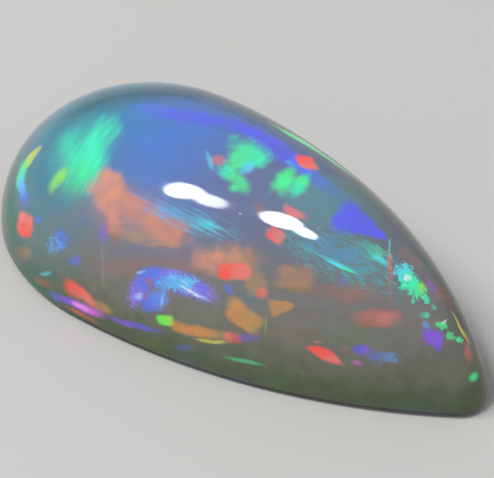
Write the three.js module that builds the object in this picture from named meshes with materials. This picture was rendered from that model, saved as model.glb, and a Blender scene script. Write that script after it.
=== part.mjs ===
// An opal polished as a pear cabochon: a domed crown over a pear outline, a thin girdle band,
// a small bevel under it and a flat polished back. The stone is one piece.
// Frame: millimetres, +Z up. The flat back lies on z = 0, the origin is under the middle of the
// length, +X runs from the round head to the blunt tip, and the crown is highest over the origin.
import * as THREE from "three";
import { mergeVertices } from "three/addons/utils/BufferGeometryUtils.js";

// Driving dimensions
const LENGTH = 18.0; // from the head to the tip
const WIDTH = 9.0; // at the widest, across the head
const HEIGHT = 5.8; // from the back to the top of the crown
const HEAD_DEPTH = 5.3; // from the head's end to the widest place
const TIP_RADIUS = 0.9; // the tip is blunt, as a point would chip
const BACK_BEVEL = 0.25; // the bevel that keeps the back's edge from chipping
const GIRDLE_BAND = 0.1; // the upright band between the bevel and the crown

// How long the ridge keeps its height before it falls to the head and the tip: 2 would be an ellipse
const RIDGE_FULLNESS = 2.4;

// How finely the curves are divided
const HEAD_STEPS = 40;
const SIDE_STEPS = 28;
const TIP_STEPS = 16;
const CROWN_RINGS = 28;

// The pear outline has four arcs: the head, the two long sides and the tip, each tangent to the next
const HEAD_X = HEAD_DEPTH - LENGTH / 2; // the widest place
const HALF_WIDTH = WIDTH / 2;
const TIP_CENTRE_X = LENGTH / 2 - TIP_RADIUS;
const TIP_REACH = TIP_CENTRE_X - HEAD_X;
const SIDE_RADIUS =
  (TIP_REACH ** 2 + HALF_WIDTH ** 2 - TIP_RADIUS ** 2) / (2 * (HALF_WIDTH - TIP_RADIUS));
const SIDE_OFFSET = SIDE_RADIUS - HALF_WIDTH; // how far past the ridge each side's centre lies
const TIP_ANGLE = Math.atan2(SIDE_OFFSET, TIP_REACH); // where a side meets the tip

const GIRDLE_TOP = BACK_BEVEL + GIRDLE_BAND;
const CROWN_HEIGHT = HEIGHT - GIRDLE_TOP;

// One arc of the outline, without its last point, which is the next arc's first
function arc(x, y, radiusX, radiusY, from, to, steps) {
  const curve = new THREE.EllipseCurve(x, y, radiusX, radiusY, from, to);
  return curve.getPoints(steps).slice(0, steps);
}

// The pear outline seen from above, anticlockwise, drawn in by inset all round
function outline(inset) {
  const side = SIDE_RADIUS - inset;
  const tip = TIP_RADIUS - inset;
  return [
    ...arc(HEAD_X, 0, HEAD_DEPTH - inset, HALF_WIDTH - inset, Math.PI / 2, 1.5 * Math.PI, HEAD_STEPS),
    ...arc(HEAD_X, SIDE_OFFSET, side, side, -Math.PI / 2, -TIP_ANGLE, SIDE_STEPS),
    ...arc(TIP_CENTRE_X, 0, tip, tip, -TIP_ANGLE, TIP_ANGLE, TIP_STEPS),
    ...arc(HEAD_X, -SIDE_OFFSET, side, side, TIP_ANGLE, Math.PI / 2, SIDE_STEPS),
  ];
}

// Half of the stone's width at a place along its length
function halfWidth(x) {
  const tangentX = TIP_CENTRE_X + TIP_RADIUS * Math.cos(TIP_ANGLE);
  if (x < HEAD_X) return HALF_WIDTH * Math.sqrt(1 - ((HEAD_X - x) / HEAD_DEPTH) ** 2);
  if (x < tangentX) return Math.sqrt(SIDE_RADIUS ** 2 - (x - HEAD_X) ** 2) - SIDE_OFFSET;
  return Math.sqrt(TIP_RADIUS ** 2 - (x - TIP_CENTRE_X) ** 2);
}

// How high the crown stands above the girdle at a place inside the outline: each section across
// the stone is half an ellipse, as high as the ridge is there
function crownAt(x, y) {
  const ridge = Math.sqrt(1 - (Math.abs(x) / (LENGTH / 2)) ** RIDGE_FULLNESS);
  const across = Math.sqrt(1 - (y / halfWidth(x)) ** 2);
  return CROWN_HEIGHT * ridge * across;
}

// The surface as rings of points from the back up to the crown's last ring
function stoneRings() {
  const level = (points, z) => points.map((p) => new THREE.Vector3(p.x, p.y, z));
  const edge = outline(0);
  const rings = [level(outline(BACK_BEVEL), 0), level(edge, BACK_BEVEL), level(edge, GIRDLE_TOP)];
  for (let ring = 1; ring < CROWN_RINGS; ring++) {
    const share = Math.cos((ring / CROWN_RINGS) * (Math.PI / 2));
    rings.push(
      edge.map(
        (p) =>
          new THREE.Vector3(p.x * share, p.y * share, GIRDLE_TOP + crownAt(p.x * share, p.y * share)),
      ),
    );
  }
  return rings;
}

// Joins the rings with bands, and closes them with a fan at the back and one at the top
function stoneGeometry() {
  const rings = stoneRings();
  const triangles = [];
  const backMiddle = new THREE.Vector3(0, 0, 0);
  const crownTop = new THREE.Vector3(0, 0, HEIGHT);
  const count = rings[0].length;
  for (let i = 0; i < count; i++) {
    const next = (i + 1) % count;
    triangles.push(backMiddle, rings[0][next], rings[0][i]);
    for (let ring = 1; ring < rings.length; ring++) {
      const below = rings[ring - 1];
      const above = rings[ring];
      triangles.push(below[i], below[next], above[next], below[i], above[next], above[i]);
    }
    const last = rings[rings.length - 1];
    triangles.push(crownTop, last[i], last[next]);
  }
  const geometry = new THREE.BufferGeometry().setFromPoints(triangles);
  const merged = mergeVertices(geometry, 1e-4);
  merged.computeVertexNormals();
  return merged;
}

// Milky grey opal with a high polish
const opal = new THREE.MeshStandardMaterial({ color: 0x7d8a92, roughness: 0.06, metalness: 0 });

const stone = new THREE.Mesh(stoneGeometry(), opal);
stone.name = "opal_cabochon";

const part = new THREE.Group();
part.add(stone);

export default part;
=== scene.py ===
import math

import bpy
from mathutils import Matrix, Vector


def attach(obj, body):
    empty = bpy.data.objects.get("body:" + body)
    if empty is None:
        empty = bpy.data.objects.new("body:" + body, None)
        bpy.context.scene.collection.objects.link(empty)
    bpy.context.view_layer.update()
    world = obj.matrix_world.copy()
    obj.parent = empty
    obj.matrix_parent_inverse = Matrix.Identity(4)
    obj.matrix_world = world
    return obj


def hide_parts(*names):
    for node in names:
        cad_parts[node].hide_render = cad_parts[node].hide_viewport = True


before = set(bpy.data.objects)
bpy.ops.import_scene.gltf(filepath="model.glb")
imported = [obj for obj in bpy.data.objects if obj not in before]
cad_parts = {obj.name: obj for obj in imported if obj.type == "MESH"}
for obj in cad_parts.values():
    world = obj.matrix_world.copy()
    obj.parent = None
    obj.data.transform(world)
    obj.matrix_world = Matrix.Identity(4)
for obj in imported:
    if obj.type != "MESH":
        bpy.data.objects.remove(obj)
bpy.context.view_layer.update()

MM = 0.001

# The stone's driving dimensions, in millimetres, as it was cut
LENGTH = 18.0
WIDTH = 9.0
HEIGHT = 5.8
HEAD_DEPTH = 5.3
TIP_RADIUS = 0.9
BACK_BEVEL = 0.25
GIRDLE_BAND = 0.1
RIDGE_FULLNESS = 2.4

HEAD_X = HEAD_DEPTH - LENGTH / 2
HALF_WIDTH = WIDTH / 2
TIP_CENTRE_X = LENGTH / 2 - TIP_RADIUS
TIP_REACH = TIP_CENTRE_X - HEAD_X
SIDE_RADIUS = (TIP_REACH**2 + HALF_WIDTH**2 - TIP_RADIUS**2) / (2 * (HALF_WIDTH - TIP_RADIUS))
SIDE_OFFSET = SIDE_RADIUS - HALF_WIDTH
TIP_TANGENT_X = TIP_CENTRE_X + TIP_RADIUS * math.cos(math.atan2(SIDE_OFFSET, TIP_REACH))
GIRDLE_TOP = BACK_BEVEL + GIRDLE_BAND
CROWN_HEIGHT = HEIGHT - GIRDLE_TOP

# The step, in millimetres along and in radians round, over which the crown's slope is taken
SMALL_STEP = 0.001

# The polished mesh: cuts along each side of the cube it starts from, in millimetres how far its
# edges are rounded and how wide the rim is round the grid of the back, and the corner of the
# rim where that grid starts
CUTS = 47
EDGE_ROUNDING = 0.04
BACK_LAND = 0.05
BACK_GRID_OFFSET = 18
SMOOTHING_LEVELS = 1

# The camera looks down on the stone from beyond its near side, as in a macro photograph, and
# aims a little beside and above the origin
CAMERA_AZIMUTH = 37.5
CAMERA_ELEVATION = 43.3
CAMERA_DISTANCE = 200.0
CAMERA_LENS = 461.6
CAMERA_NEAR = 10.0
CAMERA_FAR = 10000.0
AIM_RIGHT = -0.11
AIM_UP = 1.59

# The bright windows of light mirrored on the ridge: where they are seen, station and degrees
# round, then degrees wide, tall and rolled, and how bright
LAMP_DISTANCE = 300.0
LAMPS = (
    ("head_window", -1.1, -28, 14.5, 6.6, 128, 34),
    ("head_window_tail", -0.15, -27.3, 10.5, 4.4, 131, 26),
    ("tip_window", 2.3, -22, 17.0, 10.0, 113, 34),
    ("tip_window_tail", 3.1, -22, 11.0, 7.0, 111, 28),
)

# The pale floor and the even light of the studio. The floor lies a hair over the stone's flat
# back, so that views from below show the back.
FLOOR_SIZE = 2000.0
FLOOR_LIFT = 0.005
FLOOR_COLOUR = (0.46, 0.455, 0.445, 1.0)
FLOOR_ROUGHNESS = 0.9
STUDIO_LIGHT = (0.50, 0.50, 0.50, 1.0)

# How strongly the flashes colour the surface, and how strongly they shine on their own
FLASH_PAINT = 0.6
FLASH_GLOW = 0.35

# Inside a flash, in half lengths: how far the grain mingles its two colours, and how softly
# they meet halfway
COLOUR_MINGLING = 0.8
COLOUR_MEETING = 0.9

# The narrowest that a flash's narrow end gets, as a share of its width, and how far it reaches
# out of and into the stone, in millimetres and for each millimetre of its length
NARROWEST_END = 0.15
FLASH_DEPTH = 0.8
FLASH_DEPTH_BY_LENGTH = 0.6

# How far, in millimetres, a flash is moved by the cover of those laid before it
HAIR = 0.0005

# Colours of light in the flashes
WHITE = (0.80, 0.85, 0.90)
LIME = (0.30, 0.78, 0.10)
LEAF = (0.12, 0.90, 0.06)
GREEN = (0.08, 0.80, 0.28)
TEAL = (0.06, 0.82, 0.48)
SEA = (0.10, 0.34, 0.36)
MOSS = (0.12, 0.21, 0.13)
CYAN = (0.10, 0.66, 0.78)
SKY = (0.12, 0.42, 0.85)
BLUE = (0.10, 0.18, 0.85)
ROYAL = (0.11, 0.12, 0.80)
VIOLET = (0.24, 0.11, 0.74)
MAGENTA = (0.70, 0.14, 0.72)
PINK = (0.95, 0.32, 0.85)
RED = (0.90, 0.10, 0.08)
CORAL = (0.85, 0.20, 0.17)
SALMON = (0.66, 0.29, 0.19)
ORANGE = (0.66, 0.27, 0.08)
AMBER = (0.50, 0.30, 0.11)
YELLOW = (0.62, 0.58, 0.12)
TERRA = (0.56, 0.25, 0.18)
TAN = (0.42, 0.23, 0.14)
RUST = (0.40, 0.15, 0.10)
ROSE = (0.33, 0.17, 0.17)
MIST = (0.22, 0.27, 0.32)
PALE_BLUE = (0.34, 0.54, 0.92)
AZURE = (0.14, 0.30, 0.92)
LILAC = (0.30, 0.21, 0.85)
# These two are painted shade: dark teal and moss laid over the far rim to darken it
PAINTED_SHADE_TEAL = (0.01, 0.06, 0.07)
PAINTED_SHADE_MOSS = (0.03, 0.05, 0.04)
RIM_GREEN = (0.03, 0.15, 0.09)
STEEL_BLUE = (0.08, 0.20, 0.58)
DEEP_TEAL = (0.04, 0.24, 0.32)
GREY_VIOLET = (0.15, 0.16, 0.28)
OLIVE = (0.10, 0.14, 0.05)

# How the places of the flashes wander, which makes their edges uneven: waves to the millimetre,
# how far in millimetres, and detail
WANDERINGS = {
    "calm": (1.5, 0.05, 1),
    "wavy": (0.9, 0.22, 2),
    "jagged": (5.0, 0.10, 3),
}

# The grains inside the flashes: waves to the millimetre, detail and roughness of the noise, and
# the two of its values that become 0 and 1
GRAINS = {
    "broad": (2.0, 2, 0.5, 0.32, 0.68),
    "fine": (5.5, 4, 0.7, 0.32, 0.68),
    "brushed": (4.5, 3, 0.6, 0.20, 0.80),
    "combed": (10.0, 3, 0.6, 0.32, 0.68),
    "sparkling": (9.0, 3, 0.6, 0.40, 0.60),
}

# How fast a grain runs along, across and up, where it isn't the same all ways: brushed is drawn
# out round the stone, and combed along it
GRAIN_SPEEDS = {
    "brushed": (1.0, 0.22, 0.22),
    "combed": (0.10, 1.0, 1.0),
}

# Each kind of flash: squareness, softness and raggedness of its edge, how mottled it is inside,
# and which wandering and which grain it follows
FLASH_KINDS = {
    "haze": (2.0, 0.80, 0.15, 0.10, "wavy", "broad"),
    "glow": (2.1, 0.60, 0.30, 0.15, "calm", "broad"),
    "lump": (2.2, 0.55, 0.45, 0.30, "wavy", "broad"),
    "cloud": (2.2, 0.85, 0.50, 0.28, "wavy", "brushed"),
    "pane": (3.8, 0.26, 0.18, 0.15, "calm", "broad"),
    "veil": (2.8, 0.46, 0.28, 0.25, "wavy", "broad"),
    "leaf": (1.6, 0.30, 0.15, 0.10, "calm", "broad"),
    "streak": (2.3, 0.50, 0.20, 0.15, "calm", "fine"),
    "comb": (2.2, 0.60, 0.70, 0.75, "calm", "combed"),
    "shard": (2.4, 0.22, 0.90, 0.10, "jagged", "fine"),
    "mosaic": (2.2, 0.50, 0.35, 0.55, "jagged", "sparkling"),
}

# The flashes as they lie: name, kind, station and degrees round from the ridge, length, width and
# degrees turned from the stone's length, colour at each end, strength, and for some how far the
# ends bend aside in half widths, and how much the far end widens
HAZES = (
    ("head_blue_haze", "haze", -2.8, -8, 7.5, 5.0, 5, STEEL_BLUE, STEEL_BLUE, 0.95),
    ("ridge_violet_haze", "haze", 1.2, -14, 4.5, 3.0, 5, GREY_VIOLET, GREY_VIOLET, 0.7),
    ("head_teal_haze", "haze", -6.3, -22, 4.2, 6.5, 0, DEEP_TEAL, DEEP_TEAL, 0.85),
    ("patch_brown_haze", "haze", -1.8, -62, 2.4, 0.5, 23, RUST, RUST, 0.25),
    ("block_brown_haze", "haze", 0.0, -54, 1.2, 0.4, 11, RUST, RUST, 0.3),
    ("middle_teal_haze", "haze", 2.3, -57, 1.3, 0.8, 16, DEEP_TEAL, DEEP_TEAL, 0.2),
    ("tip_rust_haze", "haze", 5.1, -38, 1.8, 0.5, 22, RUST, RUST, 0.4),
    ("tip_moss_haze", "haze", 5.5, -57, 1.6, 0.8, 16, MOSS, MOSS, 0.45),
    # The far rim rows below are painted shade: dark hazes laid along the far rim to darken it
    ("far_dusk_head", "haze", -6.3, 2, 2.4, 1.4, 50, PAINTED_SHADE_TEAL, PAINTED_SHADE_TEAL, 0.5),
    ("far_dusk_shoulder", "haze", -4.4, 18, 3.4, 1.5, 35, PAINTED_SHADE_TEAL, PAINTED_SHADE_TEAL, 0.6),
    ("far_dusk_middle", "haze", -1.2, 32, 5.0, 1.4, 8, PAINTED_SHADE_MOSS, PAINTED_SHADE_MOSS, 0.65),
    ("far_dusk_tip", "haze", 3.6, 32, 5.0, 1.1, 0, PAINTED_SHADE_MOSS, PAINTED_SHADE_MOSS, 0.55),
    ("far_dusk_end", "haze", 6.8, 28, 3.5, 1.0, -14, PAINTED_SHADE_MOSS, PAINTED_SHADE_MOSS, 0.5),
    ("left_rim_green", "haze", -7.3, -68, 2.6, 1.1, -45, RIM_GREEN, RIM_GREEN, 0.8),
    ("low_rim_green", "haze", -5.2, -90, 2.0, 0.5, 1, RIM_GREEN, RIM_GREEN, 0.7),
    ("shoulder_haze", "haze", 3.0, -2, 2.8, 1.8, 3, SEA, SEA, 0.5),
)
HEAD_FLASHES = (
    ("blue_arc_head", "glow", -3.7, 2, 1.6, 0.55, 8, BLUE, ROYAL, 0.5),
    ("blue_arc_middle", "glow", -2.0, 8, 2.8, 0.65, 20, ROYAL, ROYAL, 0.75),
    ("blue_arc_tip", "glow", -0.1, 12, 2.7, 0.85, -7, ROYAL, ROYAL, 1.0, 0.0, 0.25),
    ("blue_arc_foot", "glow", 1.6, 7, 0.9, 0.45, 7, BLUE, BLUE, 0.65),
    ("blue_arc_end", "glow", 2.5, 7, 1.4, 0.55, -3, BLUE, STEEL_BLUE, 0.5),
    ("teal_cloud_glow", "haze", -5.1, -29, 2.4, 1.7, -65, TEAL, TEAL, 0.3),
    ("teal_cloud_left", "cloud", -5.8, -30, 1.1, 1.3, 52, SEA, TEAL, 0.75),
    ("teal_cloud_column", "cloud", -4.7, -25, 2.0, 0.85, -67, TEAL, TEAL, 1.0),
    ("teal_cloud_join", "cloud", -4.8, -33, 1.4, 1.00, -85, TEAL, GREEN, 0.85),
    ("teal_cloud_right", "cloud", -4.5, -17, 0.8, 0.65, -56, TEAL, SEA, 0.55),
    ("lime_spot", "glow", -5.4, -42, 0.85, 0.42, -109, LIME, LIME, 0.75),
    ("head_strip_top", "leaf", -7.15, -39, 1.1, 0.50, -117, YELLOW, LIME, 0.9),
    ("head_strip_green", "glow", -7.2, -48, 0.9, 0.55, -51, GREEN, CYAN, 1.0),
    ("head_strip_blue", "glow", -6.7, -55, 1.0, 0.42, -28, SKY, BLUE, 0.9),
    ("head_red", "pane", -6.15, -67, 0.75, 0.90, -77, CORAL, RED, 1.0),
    ("head_blue_dot", "glow", -5.6, -61, 0.28, 0.22, 0, BLUE, BLUE, 0.7),
    ("head_low_rust", "cloud", -5.9, -78, 1.0, 0.35, 30, RUST, AMBER, 0.55),
    ("blue_mottle_wide", "mosaic", -4.5, -65, 0.85, 0.50, 46, SKY, BLUE, 0.8),
    ("blue_mottle_top", "mosaic", -4.5, -61, 0.60, 0.28, 30, BLUE, BLUE, 0.6),
    ("blue_mottle_low", "glow", -3.7, -68, 0.40, 0.24, 44, BLUE, VIOLET, 0.5),
    ("violet_fleck", "streak", -3.0, -54, 0.60, 0.22, -78, VIOLET, VIOLET, 0.55),
    ("upright_line", "streak", -2.7, -65, 1.50, 0.12, -78, MIST, MIST, 0.4),
    ("head_teal_dash", "streak", -4.8, -80, 0.60, 0.12, 37, CYAN, CYAN, 0.5),
    ("head_dull_red_dash", "streak", -4.9, -85, 0.80, 0.24, 14, RUST, RUST, 0.5),
)
WARM_WEDGE = (
    ("wedge_haze", "haze", -2.3, -43, 2.8, 1.3, 0, SALMON, SALMON, 0.4),
    ("salmon_head", "veil", -3.5, -39, 1.3, 0.95, -42, SALMON, SALMON, 0.85),
    ("salmon_slope", "veil", -3.1, -38, 1.5, 0.60, -22, SALMON, TERRA, 0.75),
    ("salmon_stem", "veil", -2.7, -49, 1.3, 0.50, -64, SALMON, RUST, 0.7),
    ("orange_upper", "veil", -2.1, -42, 1.5, 0.80, -7, TERRA, TERRA, 0.75),
    ("orange_main", "veil", -1.0, -43.5, 1.6, 0.88, 2, TERRA, TERRA, 0.95, 0.0, 0.15),
    ("wedge_olive", "haze", -1.8, -50, 1.0, 0.40, 16, AMBER, AMBER, 0.5),
    ("wedge_edge", "streak", -0.9, -49, 1.1, 0.14, 22, AMBER, AMBER, 0.5),
)
RIDGE_FLASHES = (
    ("cyan_fringe", "comb", -0.6, -37, 2.4, 0.55, 3, SKY, CYAN, 0.65),
    ("cyan_fringe_spot", "glow", 0.2, -36, 0.60, 0.24, -3, CYAN, CYAN, 0.65),
    ("green_blob", "lump", -0.1, 0, 1.30, 1.35, 31, GREEN, TEAL, 0.95),
    ("green_blob_left_foot", "lump", 0.0, -14, 0.80, 0.40, -5, TEAL, GREEN, 0.9),
    ("green_blob_right_foot", "lump", 0.5, -15, 0.75, 0.42, -34, GREEN, GREEN, 0.95),
    ("cyan_heart", "glow", 0.3, -7, 0.48, 0.32, 97, SKY, CYAN, 0.9),
    ("faint_red_spot", "glow", -0.7, -10, 0.42, 0.38, 24, CORAL, CORAL, 0.5),
    ("faint_red_ring", "streak", -0.9, -12, 0.70, 0.16, -39, CYAN, CYAN, 0.5),
    ("green_twin_large", "glow", 1.5, -2, 1.05, 0.50, -83, GREEN, GREEN, 1.0, 0.0, 0.2),
    ("green_twin_small", "glow", 2.0, -1, 0.85, 0.42, -79, GREEN, TEAL, 0.95, 0.0, 0.2),
    ("twin_blue_tip", "glow", 1.2, 7, 0.30, 0.22, 5, SKY, SKY, 0.7),
    ("red_square_edge", "glow", 1.40, 9, 0.95, 0.40, -25, BLUE, BLUE, 0.8),
    ("red_square", "pane", 1.47, 14, 0.78, 0.58, -40, RED, CORAL, 1.0),
    ("far_rim_green", "streak", 0.9, 31, 2.8, 0.24, 4, GREEN, GREEN, 1.0),
    ("far_rim_green_thick", "streak", 0.35, 31, 1.3, 0.42, 8, GREEN, GREEN, 1.0),
    ("violet_triangle", "pane", 4.35, 0, 1.75, 0.80, 11, ROYAL, ROYAL, 1.0, 0.0, -0.85),
    ("red_over_lamp", "veil", 2.5, -16, 0.75, 0.30, 11, CORAL, CORAL, 0.75),
    ("red_under_lamp", "pane", 2.35, -29, 0.56, 0.42, -5, RED, CORAL, 0.9),
    # A painted glint: a tiny white point of light on the polish, painted as a flash
    ("white_speck", "glow", 1.0, -27, 0.10, 0.07, 12, WHITE, WHITE, 0.35),
    ("lamp_rust_tail", "glow", 1.5, -22, 0.50, 0.22, -18, RUST, RUST, 0.4),
)
FEATHER = (
    ("feather_base", "comb", 4.5, -24, 3.3, 1.1, 8, SEA, SEA, 0.85),
    ("feather_blue", "comb", 4.7, -21, 2.4, 0.7, 9, STEEL_BLUE, SEA, 0.5),
    ("feather_low", "streak", 3.9, -28, 2.1, 0.09, 3, SEA, CYAN, 0.55),
    ("feather_bright", "leaf", 4.55, -28.3, 1.05, 0.10, 5, CYAN, TEAL, 1.0),
    ("feather_green", "comb", 5.0, -11, 0.95, 0.42, 9, SEA, TEAL, 0.75),
    ("feather_cyan", "streak", 5.4, -12, 0.45, 0.16, 8, CYAN, CYAN, 0.8),
    ("hairline", "streak", 5.35, 1, 0.50, 0.06, -51, CYAN, CYAN, 0.6),
    ("hairline_red", "streak", 5.8, -14, 0.95, 0.16, -52, CORAL, RUST, 0.55),
    ("hairline_low", "streak", 6.2, -30, 1.0, 0.10, -57, RUST, RUST, 0.3),
)
TIP_FLASHES = (
    ("rim_rose_high", "comb", 6.0, 8, 0.9, 0.45, 12, ROSE, ROSE, 0.6),
    ("rim_rose_low", "comb", 7.1, 8, 1.2, 0.50, 9, ROSE, RUST, 0.55),
    ("rim_violet", "glow", 6.9, 4, 0.45, 0.26, -6, VIOLET, VIOLET, 0.3),
    ("shard_cluster_head", "shard", 6.25, -8, 0.75, 0.50, -10, CYAN, TEAL, 1.0),
    ("shard_cluster", "shard", 6.65, -11, 0.70, 0.46, 0, TEAL, GREEN, 1.0),
    ("shard_spike_left", "shard", 6.4, -15, 0.32, 0.13, 68, TEAL, TEAL, 0.85),
    ("shard_spike_right", "shard", 6.7, -17, 0.34, 0.11, 118, TEAL, SEA, 0.7),
    ("shard_lime", "glow", 6.75, -6, 0.30, 0.22, -30, LIME, LIME, 0.6),
    ("shard_bead_a", "shard", 7.0, -11, 0.28, 0.20, -5, TEAL, TEAL, 0.9),
    ("shard_bead_b", "shard", 7.3, -10, 0.20, 0.13, 4, SEA, TEAL, 0.6),
    ("shard_spark_a", "shard", 6.35, -10, 0.30, 0.18, -20, WHITE, TEAL, 0.7),
    ("shard_spark_b", "shard", 6.85, -19, 0.22, 0.09, 70, TEAL, SEA, 0.6),
    ("shard_bead_c", "shard", 7.2, -22, 0.26, 0.26, 3, SEA, TEAL, 0.7),
    ("shard_bead_d", "glow", 7.35, -28, 0.24, 0.18, 1, SKY, SKY, 0.65),
    ("shard_bead_e", "shard", 7.7, -18, 0.34, 0.22, 11, GREEN, GREEN, 0.8),
    ("shard_bead_f", "shard", 8.0, -17, 0.30, 0.17, 7, GREEN, GREEN, 0.7),
    ("shard_bead_g", "shard", 8.2, -8, 0.28, 0.20, 14, TEAL, GREEN, 0.95),
    ("shard_white", "streak", 7.7, -12, 0.20, 0.06, 86, WHITE, WHITE, 0.8),
    ("violet_blob", "lump", 7.6, -34, 0.66, 0.40, -7, VIOLET, VIOLET, 1.0),
    ("tip_yellow_line", "streak", 7.9, 6, 0.55, 0.08, -3, YELLOW, YELLOW, 0.8),
    ("tip_orange_line", "streak", 8.2, 6, 0.75, 0.10, 4, YELLOW, ORANGE, 0.9),
    ("tip_red_end", "glow", 8.5, -5, 0.60, 0.22, -15, CORAL, RUST, 0.5),
    ("tip_green_dot", "glow", 8.8, -19, 0.30, 0.28, 51, GREEN, GREEN, 0.95),
    ("dull_red", "veil", 6.0, -44, 1.30, 0.50, 27, RUST, CORAL, 0.62),
    ("violet_dot", "glow", 4.8, -34, 0.20, 0.22, 1, VIOLET, VIOLET, 0.45),
    ("red_crescent", "leaf", 4.9, -69.5, 1.2, 0.40, -14, RED, CORAL, 1.0, 0.35, 0.0),
    ("crescent_dot", "streak", 4.6, -65, 0.24, 0.09, 20, CORAL, CORAL, 0.4),
    ("tip_violet_spot", "glow", 5.9, -62, 0.52, 0.32, 21, ROYAL, VIOLET, 0.8),
    ("tip_magenta_spot", "glow", 5.8, -69, 0.30, 0.17, 10, MAGENTA, MAGENTA, 0.5),
    ("tip_rose_spot", "glow", 5.4, -64, 0.22, 0.18, 21, ROSE, ROSE, 0.5),
    ("tip_blue_mottle", "mosaic", 6.5, -62, 0.85, 0.36, 20, BLUE, SKY, 0.6),
)
MIDDLE_FLASHES = (
    ("block_haze", "glow", 1.3, -45.5, 2.0, 0.80, 21, SALMON, TAN, 0.9),
    ("amber_band", "veil", 2.3, -49, 0.95, 0.60, -54, TAN, AMBER, 0.6),
    ("red_block", "pane", 1.6, -49, 1.04, 0.52, 17, RED, CORAL, 0.95),
    ("brown_block", "veil", 3.4, -42, 1.15, 0.66, 19, TAN, TAN, 0.85),
    ("brown_block_edge", "glow", 3.5, -47, 0.9, 0.16, 20, OLIVE, OLIVE, 0.25),
    ("red_spot", "glow", 2.6, -53, 0.34, 0.30, 14, RED, CORAL, 0.65),
    ("blue_dot", "glow", 1.6, -56, 0.28, 0.28, 12, BLUE, BLUE, 0.55),
    ("orange_block", "pane", 2.3, -64.5, 1.12, 0.72, -18, ORANGE, AMBER, 0.85),
    ("orange_block_top", "veil", 1.9, -60, 0.55, 0.40, -11, AMBER, AMBER, 0.4),
    ("orange_block_small", "pane", 3.3, -55.5, 0.78, 0.42, 30, ORANGE, AMBER, 0.75, 0.0, -0.55),
    ("green_edge_line", "streak", 3.0, -65, 0.60, 0.08, -80, LIME, GREEN, 0.2),
    ("green_spot", "pane", -0.2, -76, 0.60, 0.36, 22, LEAF, LIME, 1.0),
    ("orange_strip", "veil", 1.0, -76, 1.75, 0.36, 9, ORANGE, AMBER, 0.95, -0.4, 0.0),
    ("yellow_strip", "streak", 1.4, -78, 0.95, 0.13, 16, YELLOW, YELLOW, 0.8, -0.4, 0.0),
    ("red_strip", "veil", 2.0, -74, 0.55, 0.34, 15, CORAL, RED, 0.65),
    ("violet_strip", "glow", 2.5, -72, 0.65, 0.28, 19, VIOLET, VIOLET, 0.4),
    ("low_blue_dot", "glow", 0.6, -84, 0.60, 0.20, 22, BLUE, BLUE, 0.25),
    ("low_olive", "haze", -0.5, -87, 1.1, 0.25, 12, OLIVE, OLIVE, 0.6),
    ("low_green_dash", "streak", 2.5, -82, 1.1, 0.15, 5, GREEN, TEAL, 0.45),
)
BLUE_PATCH = (
    ("patch_bed_left", "glow", -1.25, -68, 1.05, 0.55, 73, VIOLET, BLUE, 0.6),
    ("patch_bed_top", "glow", -0.6, -61, 1.2, 0.55, 17, BLUE, BLUE, 0.6),
    ("patch_bed_foot", "glow", -0.7, -70, 0.95, 0.55, 38, BLUE, AZURE, 0.6),
    ("patch_bed_arch", "glow", 0.25, -60, 1.6, 0.58, 4, BLUE, VIOLET, 0.75, 0.3, 0.0),
    ("patch_left", "mosaic", -1.25, -69, 1.15, 0.55, 73, LILAC, BLUE, 0.85),
    ("patch_top", "mosaic", -0.6, -60, 1.15, 0.42, 17, BLUE, LILAC, 0.85),
    ("patch_foot", "mosaic", -0.7, -71, 1.00, 0.55, 38, BLUE, AZURE, 0.9),
    ("patch_arch", "mosaic", 0.3, -60, 1.65, 0.58, 4, SKY, LILAC, 0.95, 0.3, 0.0),
    ("patch_end", "glow", 0.75, -59, 0.62, 0.36, -25, VIOLET, BLUE, 0.6),
    ("patch_cyan", "mosaic", -0.1, -61, 1.25, 0.34, 24, SKY, CYAN, 0.95),
    ("patch_line", "streak", 0.6, -62, 0.95, 0.11, -9, WHITE, PALE_BLUE, 0.8),
    ("patch_light", "glow", -1.2, -71, 0.32, 0.20, 42, PALE_BLUE, PALE_BLUE, 0.95),
    ("patch_thread_left", "streak", -1.3, -62, 0.34, 0.09, 32, PALE_BLUE, SKY, 0.8),
    ("patch_thread_foot", "streak", -0.4, -68, 0.60, 0.10, -91, SKY, PALE_BLUE, 0.75),
    ("patch_thread_top", "streak", -0.2, -59, 0.50, 0.09, 13, PALE_BLUE, SKY, 0.6),
    ("patch_thread_arch", "streak", 0.3, -59.5, 0.60, 0.10, -10, PALE_BLUE, SKY, 0.8),
    ("patch_hole_top", "glow", -1.0, -64, 0.26, 0.20, 60, RUST, RUST, 0.6),
    ("patch_hole_low", "glow", -1.0, -70, 0.30, 0.18, 60, RUST, RUST, 0.55),
)
LOW_FLASHES = (
    ("low_red", "veil", -3.4, -80.5, 0.95, 0.50, -1, RED, CORAL, 0.95),
    ("low_orange", "veil", -2.6, -81, 0.95, 0.32, -7, CORAL, AMBER, 0.7),
    ("low_violet_spot", "glow", -4.2, -87, 0.70, 0.32, 8, BLUE, VIOLET, 0.6),
    ("low_magenta", "streak", -3.2, -85.5, 1.5, 0.32, 5, VIOLET, MAGENTA, 1.0),
    ("low_pink", "glow", -3.2, -85.5, 0.65, 0.20, 5, PINK, PINK, 0.9),
    ("low_red_rim", "streak", -3.2, -89, 1.1, 0.15, 1, RED, RUST, 0.75),
    ("low_violet_dash", "streak", -1.3, -83, 1.75, 0.20, 9, VIOLET, ROYAL, 0.65),
    ("low_violet_heart", "glow", -1.5, -84, 0.45, 0.15, 6, VIOLET, VIOLET, 0.6),
)
FLASHES = (
    HAZES
    + HEAD_FLASHES
    + WARM_WEDGE
    + RIDGE_FLASHES
    + FEATHER
    + TIP_FLASHES
    + MIDDLE_FLASHES
    + BLUE_PATCH
    + LOW_FLASHES
)

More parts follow.
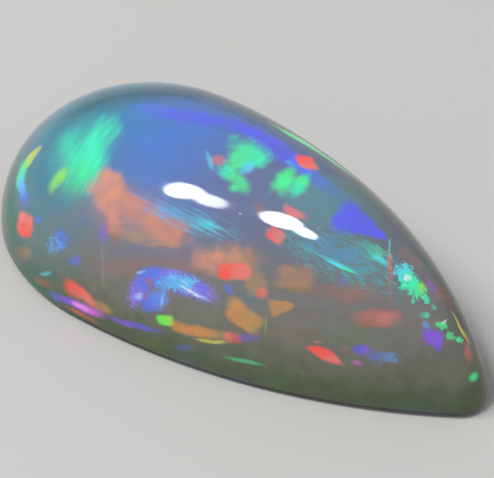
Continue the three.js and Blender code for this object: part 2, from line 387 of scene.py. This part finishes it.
# The mosaic of colour over the far side and the back, and very faintly over the rest: cells to
# the millimetre, how fast they run along, across and up, and how strong they are where the
# mosaic is full and where it is faint
MOSAIC_SCALE = 0.72
MOSAIC_SPEEDS = (0.75, 1.2, 1.2)
MOSAIC_FULL = 0.9
MOSAIC_FAINT = 0.07

# Each cell draws one number for its colour and one for its light: it is dark up to the first of
# these values and fully lit from the second. The grain dims it, down to a share at the most.
CELL_LIGHTING = (0.25, 0.85)
CELL_DIMMING = 0.6

# How ragged the rim of a cell is, and how far in from the rim its colour is full, in cells
CELL_RAGGEDNESS = 0.10
CELL_SOFTNESS = 0.38

# The far side begins between these degrees round from the ridge, and the back between these
# heights in millimetres
FAR_SIDE_DEG = (34, 44)
BACK_HEIGHTS = (0.02, 0.08)

# The colours of the cells, by the number that a cell draws
MOSAIC_COLOURS = (
    (0.00, STEEL_BLUE),
    (0.22, BLUE),
    (0.34, VIOLET),
    (0.44, SEA),
    (0.54, TEAL),
    (0.64, GREEN),
    (0.72, RUST),
    (0.80, ORANGE),
    (0.90, CORAL),
    (1.00, RED),
)

# The milky body by share of the stone's height: olive at the girdle, grey-brown up the sides
# and grey over the top. The bands wander over a height in millimetres, and are mottled from a
# little darker to a little lighter.
BODY_COLOURS = (
    (0.00, (0.082, 0.110, 0.050)),
    (0.12, (0.084, 0.118, 0.062)),
    (0.35, (0.160, 0.160, 0.132)),
    (0.62, (0.175, 0.170, 0.165)),
    (0.85, (0.130, 0.150, 0.175)),
    (1.00, (0.100, 0.125, 0.150)),
)
BODY_UNEVENNESS = 0.35
BODY_MOTTLING = (0.97, 1.03)

# The polish, and how milky the stone is under it: the share of light that goes in, how deep in
# millimetres, and how that differs for red, green and blue
POLISH_ROUGHNESS = (0.05, 0.07)
REFRACTIVE_INDEX = 1.42
MILKINESS = 0.35
MILK_DEPTH = 1.2
MILK_DEPTH_BY_COLOUR = (1.0, 0.9, 0.8)


# Places on the stone: a station along its length and a turn round from the ridge
def half_width(station):
    """Half the stone's width there: the round head, then the long arcs, then the small tip."""
    if station < HEAD_X:
        return HALF_WIDTH * math.sqrt(max(0.0, 1 - ((HEAD_X - station) / HEAD_DEPTH) ** 2))
    if station < TIP_TANGENT_X:
        return math.sqrt(SIDE_RADIUS**2 - (station - HEAD_X) ** 2) - SIDE_OFFSET
    return math.sqrt(max(0.0, TIP_RADIUS**2 - (station - TIP_CENTRE_X) ** 2))


def ridge_height(station):
    """How high the ridge is there over the girdle. It falls to nothing at both ends."""
    fall = (abs(station) / (LENGTH / 2)) ** RIDGE_FULLNESS
    return CROWN_HEIGHT * math.sqrt(max(0.0, 1 - fall))


def crown_point(station, turn):
    """The point of the crown there. Across the stone the crown is half an ellipse."""
    across = half_width(station) * math.sin(turn)
    up = GIRDLE_TOP + ridge_height(station) * math.cos(turn)
    return Vector((station, across, up))


def crown_place(station, round_deg):
    """The point there, with the directions along the stone, round it and out of it."""
    turn = math.radians(round_deg)
    along = crown_point(station + SMALL_STEP, turn) - crown_point(station - SMALL_STEP, turn)
    about = crown_point(station, turn + SMALL_STEP) - crown_point(station, turn - SMALL_STEP)
    out = along.cross(about).normalized()
    along.normalize()
    return crown_point(station, turn), along, out.cross(along), out


# The camera and the lamps
def camera_axes():
    """What is right, up and behind for the camera."""
    azimuth = math.radians(CAMERA_AZIMUTH)
    elevation = math.radians(CAMERA_ELEVATION)
    away = Vector(
        (
            math.sin(azimuth) * math.cos(elevation),
            -math.cos(azimuth) * math.cos(elevation),
            math.sin(elevation),
        )
    )
    right = Vector((math.cos(azimuth), math.sin(azimuth), 0))
    return right, away.cross(right), away


def turned_to(right, up, away, place):
    """How a camera or lamp stands at a place in millimetres, where away points behind it."""
    axes = Matrix((right, up, away)).transposed().to_4x4()
    return Matrix.Translation(place * MM) @ axes


def facing(away, place):
    """How a lamp stands at a place when it is level and away points behind it."""
    right = Vector((0, 0, 1)).cross(away).normalized()
    return turned_to(right, away.cross(right), away, place)


def add_camera():
    right, up, away = camera_axes()
    place = right * AIM_RIGHT + up * AIM_UP + away * CAMERA_DISTANCE
    data = bpy.data.cameras.new("photo_camera")
    data.lens = CAMERA_LENS
    data.clip_start = CAMERA_NEAR * MM
    data.clip_end = CAMERA_FAR * MM
    camera = bpy.data.objects.new("photo_camera", data)
    camera.matrix_world = turned_to(right, up, away, place)
    bpy.context.scene.collection.objects.link(camera)
    bpy.context.scene.camera = camera
    return place


def add_lamp(name, away, place, width, height, rolled_deg, radiance):
    """An oval soft box of that size in millimetres. Its power follows from how bright it is."""
    data = bpy.data.lights.new(name, "AREA")
    data.shape = "ELLIPSE"
    data.size = width * MM
    data.size_y = height * MM
    data.energy = radiance * math.pi * (math.pi / 4) * width * height * MM**2
    lamp = bpy.data.objects.new(name, data)
    lamp.matrix_world = facing(away, place) @ Matrix.Rotation(math.radians(rolled_deg), 4, "Z")
    bpy.context.scene.collection.objects.link(lamp)


def seen_size(degrees):
    """The size in millimetres of a lamp that is seen so wide from the stone."""
    return 2 * LAMP_DISTANCE * math.tan(math.radians(degrees / 2))


def add_window_lamps(camera_place):
    """Each lamp stands where the polish mirrors it to the camera from its place on the ridge."""
    for name, station, round_deg, wide, tall, rolled, radiance in LAMPS:
        point, _, _, out = crown_place(station, round_deg)
        to_camera = (camera_place - point).normalized()
        to_lamp = 2 * out.dot(to_camera) * out - to_camera
        place = point + to_lamp * LAMP_DISTANCE
        add_lamp(name, to_lamp, place, seen_size(wide), seen_size(tall), rolled, radiance)


# The polished stone
def select_only(piece):
    bpy.ops.object.select_all(action="DESELECT")
    piece.select_set(True)
    bpy.context.view_layer.objects.active = piece


def seat_on_crown(point):
    """Where the stone's surface lies in the direction of a point on the starting cube."""
    direction = point.normalized()
    station = direction.x * LENGTH / 2
    turn = math.atan2(direction.y, direction.z)
    return crown_point(station, turn) * MM


def half_cube():
    """A cube, cut into small squares and halved, with its open side down."""
    bpy.ops.object.select_all(action="DESELECT")
    bpy.ops.mesh.primitive_cube_add(size=2, location=(0, 0, 0))
    stone = bpy.context.active_object
    bpy.ops.object.mode_set(mode="EDIT")
    bpy.ops.mesh.select_mode(type="VERT")
    bpy.ops.mesh.select_all(action="SELECT")
    bpy.ops.mesh.subdivide(number_cuts=CUTS)
    bpy.ops.mesh.select_all(action="DESELECT")
    bpy.ops.object.mode_set(mode="OBJECT")
    just_below_middle = -0.5 / CUTS
    for v in stone.data.vertices:
        v.select = v.co.z < just_below_middle
    bpy.ops.object.mode_set(mode="EDIT")
    bpy.ops.mesh.delete(type="VERT")
    bpy.ops.object.mode_set(mode="OBJECT")
    return stone


def bevel_sharp_edges(degrees, width, segments):
    bpy.ops.mesh.select_mode(type="EDGE")
    bpy.ops.mesh.select_all(action="DESELECT")
    bpy.ops.mesh.edges_select_sharp(sharpness=math.radians(degrees))
    bpy.ops.mesh.bevel(offset=width * MM, segments=segments, affect="EDGES")


def add_girdle():
    """Draws the open rim down to the table, closes it, bevels the back and rounds the edges."""
    bpy.ops.mesh.select_all(action="DESELECT")
    bpy.ops.mesh.select_non_manifold()
    bpy.ops.mesh.extrude_region_move(
        TRANSFORM_OT_translate={"value": (0, 0, -GIRDLE_TOP * MM)}
    )
    bpy.ops.mesh.edge_face_add()
    bevel_sharp_edges(degrees=60, width=BACK_BEVEL, segments=1)
    bevel_sharp_edges(degrees=30, width=EDGE_ROUNDING, segments=2)


def select_back_face(stone):
    """Selects the back, the only face with more than four corners."""
    bpy.ops.mesh.select_mode(type="FACE")
    bpy.ops.mesh.select_all(action="DESELECT")
    bpy.ops.object.mode_set(mode="OBJECT")
    for face in stone.data.polygons:
        face.select = len(face.vertices) > 4
    bpy.ops.object.mode_set(mode="EDIT")


def square_up_back(stone):
    """Makes the back a flat grid of squares inside a narrow rim."""
    select_back_face(stone)
    bpy.ops.mesh.inset(thickness=BACK_LAND * MM)
    bpy.ops.mesh.delete(type="ONLY_FACE")
    bpy.ops.mesh.select_mode(type="VERT")
    bpy.ops.mesh.select_all(action="DESELECT")
    bpy.ops.mesh.select_non_manifold()
    bpy.ops.mesh.fill_grid(span=CUTS + 1, offset=BACK_GRID_OFFSET)


def polished_stone():
    """The stone, from half a cube that is seated on the crown, closed below and smoothed."""
    stone = half_cube()
    stone.name = "polished_opal"
    stone.data.name = "polished_opal"
    for v in stone.data.vertices:
        v.co = seat_on_crown(v.co)
    bpy.ops.object.mode_set(mode="EDIT")
    add_girdle()
    square_up_back(stone)
    bpy.ops.mesh.select_all(action="SELECT")
    bpy.ops.mesh.normals_make_consistent(inside=False)
    bpy.ops.object.mode_set(mode="OBJECT")
    select_only(stone)
    smoothing = stone.modifiers.new("smoothing", "SUBSURF")
    smoothing.levels = SMOOTHING_LEVELS
    smoothing.render_levels = SMOOTHING_LEVELS
    bpy.ops.object.modifier_apply(modifier=smoothing.name)
    bpy.ops.object.shade_smooth()
    return stone


# The opal's material
class Nodes:
    """Adds nodes to one tree and links them, so that a pattern reads as a chain of steps."""

    def __init__(self, tree):
        self.tree = tree

    def set(self, socket, value):
        """Links the socket to what another node gives, or sets it to a plain value."""
        if isinstance(value, bpy.types.NodeSocket):
            self.tree.links.new(value, socket)
        else:
            socket.default_value = value

    def add(self, kind, values, **settings):
        """What a new node gives. The values go by the name or the number of its inputs."""
        node = self.tree.nodes.new(kind)
        for name, setting in settings.items():
            setattr(node, name, setting)
        for name, value in values.items():
            self.set(node.inputs[name], value)
        return node.outputs

    def math(self, operation, *values):
        return self.add("ShaderNodeMath", dict(enumerate(values)), operation=operation)[0]

    def vector(self, operation, *values):
        given = self.add("ShaderNodeVectorMath", dict(enumerate(values)), operation=operation)
        return given["Value" if operation == "DOT_PRODUCT" else "Vector"]

    def scaled(self, vector, factor):
        values = {"Vector": vector, "Scale": factor}
        return self.add("ShaderNodeVectorMath", values, operation="SCALE")["Vector"]

    def ramp(self, value, low, high, to_low=0.0, to_high=1.0):
        """The value taken softly from one range to another, and held at both ends."""
        values = dict(enumerate((value, low, high, to_low, to_high)))
        return self.add("ShaderNodeMapRange", values, interpolation_type="SMOOTHSTEP")[0]

    def mix(self, factor, first, second, blend="MIX"):
        """Two colours mixed. A mix node has inputs 6 and 7 and output 2 for its colours."""
        values = {"Factor": factor, 6: first, 7: second}
        return self.add("ShaderNodeMix", values, data_type="RGBA", blend_type=blend)[2]

    def noise(self, point, scale, detail, roughness=0.5):
        values = {"Vector": point, "Scale": scale, "Detail": detail, "Roughness": roughness}
        return self.add("ShaderNodeTexNoise", values)["Color"]

    def colours(self, value, stops):
        """The colour at a value from 0 to 1, between stops of a position and a colour each."""
        node = self.tree.nodes.new("ShaderNodeValToRGB")
        ramp = node.color_ramp
        for _ in range(len(stops) - 2):
            ramp.elements.new(0.5)
        for element, (position, colour) in zip(ramp.elements, stops):
            element.position = position
            element.color = (*colour, 1)
        self.set(node.inputs[0], value)
        return node.outputs[0]

    def wandered(self, point, scale, reach, detail):
        """The point moved about by up to that many millimetres, so that edges wander."""
        shift = self.vector("SUBTRACT", self.noise(point, scale, detail), (0.5, 0.5, 0.5))
        return self.vector("ADD", point, self.scaled(shift, 2 * reach))


def add_sockets(tree, side, kind, *names):
    for name in names:
        tree.interface.new_socket(name=name, in_out=side, socket_type="NodeSocket" + kind)


def flash_group():
    """One flash: a soft-edged oval or pane on the surface, laid over what is already there.

    Along, Across and Out are the flash's own directions, each divided by its half size there.
    The point is moved a hair by the cover before it. That makes the renderer work the flashes
    out one by one, where side by side they would overfill the room it has for one material.
    """
    tree = bpy.data.node_groups.new("opal_flash", "ShaderNodeTree")
    add_sockets(tree, "INPUT", "Vector", "Point", "Place", "Along", "Across", "Out")
    add_sockets(tree, "INPUT", "Float", "Grain", "Bend", "Widening", "Squareness", "Softness")
    add_sockets(tree, "INPUT", "Float", "Ragged", "Mottle", "Strength", "Cover")
    add_sockets(tree, "INPUT", "Vector", "Near Colour", "Colour Change", "Play")
    add_sockets(tree, "OUTPUT", "Vector", "Play")
    add_sockets(tree, "OUTPUT", "Float", "Cover")
    nodes = Nodes(tree)
    given = tree.nodes.new("NodeGroupInput").outputs

    # How far the point is from the flash's middle, with the flash's rim at 1
    hair = nodes.scaled((HAIR, 0.0, 0.0), given["Cover"])
    point = nodes.vector("ADD", given["Point"], hair)
    reach = nodes.vector("SUBTRACT", point, given["Place"])
    along = nodes.vector("DOT_PRODUCT", reach, given["Along"])
    across = nodes.vector("DOT_PRODUCT", reach, given["Across"])
    outward = nodes.vector("DOT_PRODUCT", reach, given["Out"])
    squared = nodes.math("MULTIPLY", along, along)
    bent = nodes.math("MULTIPLY_ADD", squared, given["Bend"], across)
    widened = nodes.math("MULTIPLY_ADD", along, given["Widening"], 1.0)
    room = nodes.math("MAXIMUM", widened, NARROWEST_END)
    narrowed = nodes.math("DIVIDE", bent, room)
    total = nodes.math("MULTIPLY", outward, outward)
    for part in (along, narrowed):
        raised = nodes.math("POWER", nodes.math("ABSOLUTE", part), given["Squareness"])
        total = nodes.math("ADD", total, raised)
    distance = nodes.math("POWER", total, nodes.math("DIVIDE", 1.0, given["Squareness"]))

    # How much of the flash lies there: it ends softly at a ragged rim, and the grain mottles it
    ragged = nodes.math("MULTIPLY_ADD", given["Grain"], given["Ragged"], distance)
    edge = nodes.math("MULTIPLY_ADD", given["Ragged"], 0.5, 1.0)
    inner = nodes.math("SUBTRACT", edge, given["Softness"])
    outer = nodes.math("ADD", edge, given["Softness"])
    inside = nodes.ramp(ragged, inner, outer, 1.0, 0.0)
    full = nodes.math("MULTIPLY", inside, given["Strength"])
    dimmed = nodes.math("MULTIPLY", nodes.math("MULTIPLY", full, given["Grain"]), given["Mottle"])
    share = nodes.math("SUBTRACT", full, dimmed)

    # Its two colours, mingled by the grain and laid over the play of colour so far
    spread = nodes.math("MULTIPLY_ADD", given["Grain"], COLOUR_MINGLING, along)
    halfway = COLOUR_MINGLING / 2
    mingled = nodes.ramp(spread, halfway - COLOUR_MEETING, halfway + COLOUR_MEETING)
    change = nodes.scaled(given["Colour Change"], mingled)
    added = nodes.scaled(nodes.vector("ADD", given["Near Colour"], change), share)
    kept = nodes.math("SUBTRACT", 1.0, share)
    laid = nodes.vector("ADD", nodes.scaled(given["Play"], kept), added)
    covered = nodes.math("MULTIPLY_ADD", given["Cover"], kept, share)
    given_back = tree.nodes.new("NodeGroupOutput").inputs
    nodes.set(given_back["Play"], laid)
    nodes.set(given_back["Cover"], covered)
    return tree


def lay_flash(nodes, group, points, grains, flash, play, cover):
    """Lays one flash of the list over the play of colour, and adds to what it covers."""
    name, kind, station, round_deg, length, width, turned, near, far, strength, *shape = flash
    bend, widening = shape or (0.0, 0.0)
    squareness, softness, ragged, mottle, wandering, grain = FLASH_KINDS[kind]
    place, along, about, out = crown_place(station, round_deg)
    angle = math.radians(turned)
    long_axis = along * math.cos(angle) + about * math.sin(angle)
    depth = FLASH_DEPTH + FLASH_DEPTH_BY_LENGTH * length
    values = {
        "Point": points[wandering],
        "Grain": grains[grain],
        "Place": place,
        "Along": long_axis / (length / 2),
        "Across": out.cross(long_axis) / (width / 2),
        "Out": out / depth,
        "Bend": bend,
        "Widening": widening,
        "Squareness": squareness,
        "Softness": softness,
        "Ragged": ragged,
        "Mottle": mottle,
        "Strength": strength,
        "Near Colour": near,
        "Colour Change": Vector(far) - Vector(near),
        "Play": play,
        "Cover": cover,
    }
    laid = nodes.add("ShaderNodeGroup", values, node_tree=group, name=name, label=name)
    return laid["Play"], laid["Cover"]


def wandering_points(nodes, point):
    """The point on the stone, moved about in each of the ways that flashes follow."""
    points = {}
    for name, (scale, reach, detail) in WANDERINGS.items():
        points[name] = nodes.wandered(point, scale, reach, detail)
    return points


def grain_patterns(nodes, point):
    """The grains, each from 0 to 1."""
    grains = {}
    for name, (scale, detail, roughness, low, high) in GRAINS.items():
        drawn_at = point
        if name in GRAIN_SPEEDS:
            drawn_at = nodes.vector("MULTIPLY", point, GRAIN_SPEEDS[name])
        noise = nodes.noise(drawn_at, scale, detail, roughness)
        red = nodes.add("ShaderNodeSeparateColor", {"Color": noise})[0]
        grains[name] = nodes.ramp(red, low, high)
    return grains


def lay_mosaic_under(nodes, point, y, z, grain, play, cover):
    """Cells of colour under the flashes: bright on the far side and the back, faint elsewhere."""
    stretched = nodes.vector("MULTIPLY", point, MOSAIC_SPEEDS)
    cells, rims = (
        nodes.add("ShaderNodeTexVoronoi", {"Vector": stretched, "Scale": MOSAIC_SCALE}, feature=kind)
        for kind in ("F1", "DISTANCE_TO_EDGE")
    )
    drawn = nodes.add("ShaderNodeSeparateColor", {"Color": cells["Color"]})
    colour = nodes.colours(drawn[0], MOSAIC_COLOURS)
    bright = nodes.ramp(drawn[1], *CELL_LIGHTING)
    lit = nodes.math("MULTIPLY", bright, nodes.ramp(grain, 0.0, 1.0, 1.0, CELL_DIMMING))
    ragged = nodes.math("MULTIPLY_ADD", grain, -CELL_RAGGEDNESS, rims["Distance"])
    filled = nodes.ramp(ragged, -CELL_RAGGEDNESS, CELL_SOFTNESS)
    turn = nodes.math("ARCTAN2", y, nodes.math("SUBTRACT", z, GIRDLE_TOP))
    beyond = nodes.ramp(turn, *(math.radians(degrees) for degrees in FAR_SIDE_DEG))
    under = nodes.ramp(z, *BACK_HEIGHTS, 1.0, 0.0)
    hidden = nodes.math("MAXIMUM", beyond, under)
    strength = nodes.ramp(hidden, 0.0, 1.0, MOSAIC_FAINT, MOSAIC_FULL)
    share = nodes.math("MULTIPLY", nodes.math("MULTIPLY", lit, filled), strength)
    seen = nodes.math("MULTIPLY", share, nodes.math("SUBTRACT", 1.0, cover))
    return nodes.mix(seen, play, colour, "ADD"), nodes.math("ADD", cover, seen)


def body_colour(nodes, height, grain):
    """The milky body, whose bands of colour the grain makes uneven."""
    uneven = nodes.math("MULTIPLY", nodes.math("SUBTRACT", grain, 0.5), BODY_UNEVENNESS)
    share = nodes.math("DIVIDE", nodes.math("ADD", height, uneven), HEIGHT)
    body = nodes.colours(share, BODY_COLOURS)
    return nodes.scaled(body, nodes.ramp(grain, 0.0, 1.0, *BODY_MOTTLING))


def opal_material():
    """The milky body under the play of colour, which paints the surface and shines a little."""
    material = bpy.data.materials.new("opal")
    material.use_nodes = True
    tree = material.node_tree
    nodes = Nodes(tree)
    where = nodes.add("ShaderNodeTexCoord", {})["Object"]
    point = nodes.scaled(where, 1 / MM)
    _, y, z = nodes.add("ShaderNodeSeparateXYZ", {"Vector": point})
    points = wandering_points(nodes, point)
    grains = grain_patterns(nodes, point)
    group = flash_group()
    play = (0, 0, 0)
    cover = 0.0
    for flash in FLASHES:
        play, cover = lay_flash(nodes, group, points, grains, flash, play, cover)
    play, cover = lay_mosaic_under(nodes, points["wavy"], y, z, grains["broad"], play, cover)
    body = body_colour(nodes, z, grains["broad"])
    bare = nodes.mix(cover, body, (0, 0, 0, 1))
    painted = nodes.mix(1.0, bare, nodes.scaled(play, FLASH_PAINT), "ADD")
    finish = {
        "Base Color": painted,
        "Emission Color": play,
        "Emission Strength": FLASH_GLOW,
        "Roughness": nodes.ramp(grains["fine"], 0.0, 1.0, *POLISH_ROUGHNESS),
        "IOR": REFRACTIVE_INDEX,
        "Subsurface Weight": MILKINESS,
        "Subsurface Radius": MILK_DEPTH_BY_COLOUR,
        "Subsurface Scale": MILK_DEPTH * MM,
    }
    shader = tree.nodes["Principled BSDF"]
    for name, value in finish.items():
        nodes.set(shader.inputs[name], value)
    return material


# The floor and the studio
def pale_floor():
    bpy.ops.object.select_all(action="DESELECT")
    bpy.ops.mesh.primitive_plane_add(size=FLOOR_SIZE * MM, location=(0, 0, FLOOR_LIFT * MM))
    floor = bpy.context.active_object
    floor.name = "pale_floor"
    material = bpy.data.materials.new("pale_floor")
    material.use_nodes = True
    shader = material.node_tree.nodes["Principled BSDF"]
    shader.inputs["Base Color"].default_value = FLOOR_COLOUR
    shader.inputs["Roughness"].default_value = FLOOR_ROUGHNESS
    floor.data.materials.append(material)


def studio_world():
    world = bpy.data.worlds.new("studio")
    bpy.context.scene.world = world
    world.use_nodes = True
    background = world.node_tree.nodes["Background"]
    background.inputs["Color"].default_value = STUDIO_LIGHT


# The scene
bpy.context.scene.view_settings.view_transform = "Standard"
camera_place = add_camera()
add_window_lamps(camera_place)
studio_world()
pale_floor()

stone = polished_stone()
stone.data.materials.append(opal_material())
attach(stone, "root")
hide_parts("opal_cabochon")
